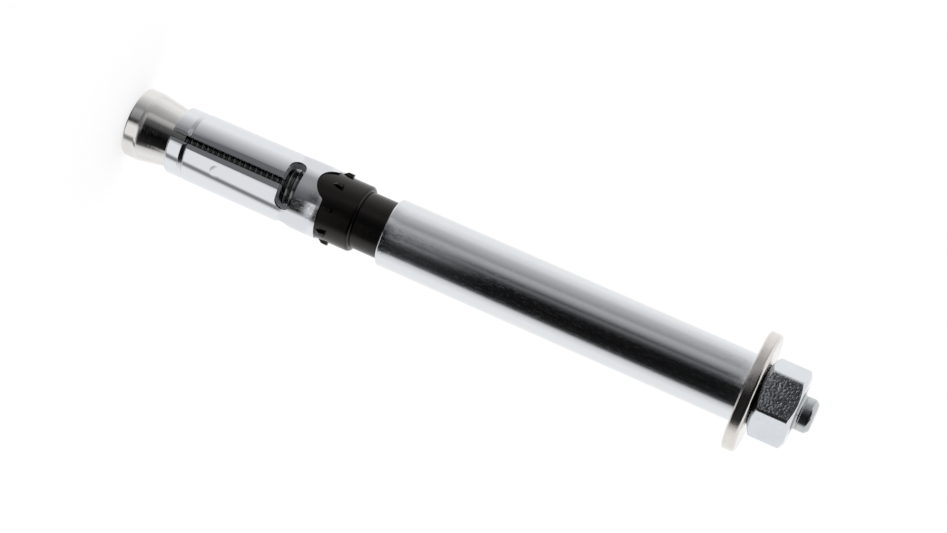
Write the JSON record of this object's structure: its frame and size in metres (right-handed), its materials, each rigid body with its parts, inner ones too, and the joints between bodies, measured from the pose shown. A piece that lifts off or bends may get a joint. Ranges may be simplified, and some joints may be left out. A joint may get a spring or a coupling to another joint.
{
  "type": "heavy-duty sleeve anchor",
  "caption": "Heavy-duty sleeve anchor: stud with a spreading cone, slotted expansion sleeve, barbed black crush sleeve, distance tube, thick washer and hexagon nut.",
  "frame": {"origin": "centre of the cone's end face", "axes": "+Z along the rod, from the cone to the nut; the picture looks along +Y"},
  "size_m": [0.0406, 0.0406, 0.2458],
  "materials": {
    "rod_zinc": "bright zinc plate on a rolled thread",
    "cone_zinc": "bright zinc plate over fine turning marks",
    "finger_zinc": "bright zinc plate, lightly dented",
    "black_plastic": "satin moulded black plastic",
    "tube_zinc": "bright zinc plate on drawn tube",
    "washer_zinc": "bright zinc plate on stamped steel",
    "nut_zinc": "bright zinc plate with a fine orange-peel texture"
  },
  "bodies": {
    "stud": {"threaded_rod": "rod_zinc", "cone": "cone_zinc"},
    "sleeves": {"expansion_sleeve": "finger_zinc", "crush_sleeve": "black_plastic", "distance_sleeve": "tube_zinc", "washer": "washer_zinc"},
    "nut": {"hex_nut": "nut_zinc"}
  },
  "joints": [
    {"name": "sleeve_slide", "type": "slide", "parent": "stud", "child": "sleeves", "axis": [0, 0, 1], "range_m": [0, 0.012]},
    {"name": "nut_turn", "type": "hinge", "parent": "sleeves", "child": "nut", "pos_m": [0, 0, 0.2269], "axis": [0, 0, 1], "range_deg": [0, 2160]}
  ],
  "couplings": [
    {"joint": "nut_turn", "follows": "sleeve_slide", "rad_per_m": 3141.6}
  ]
}
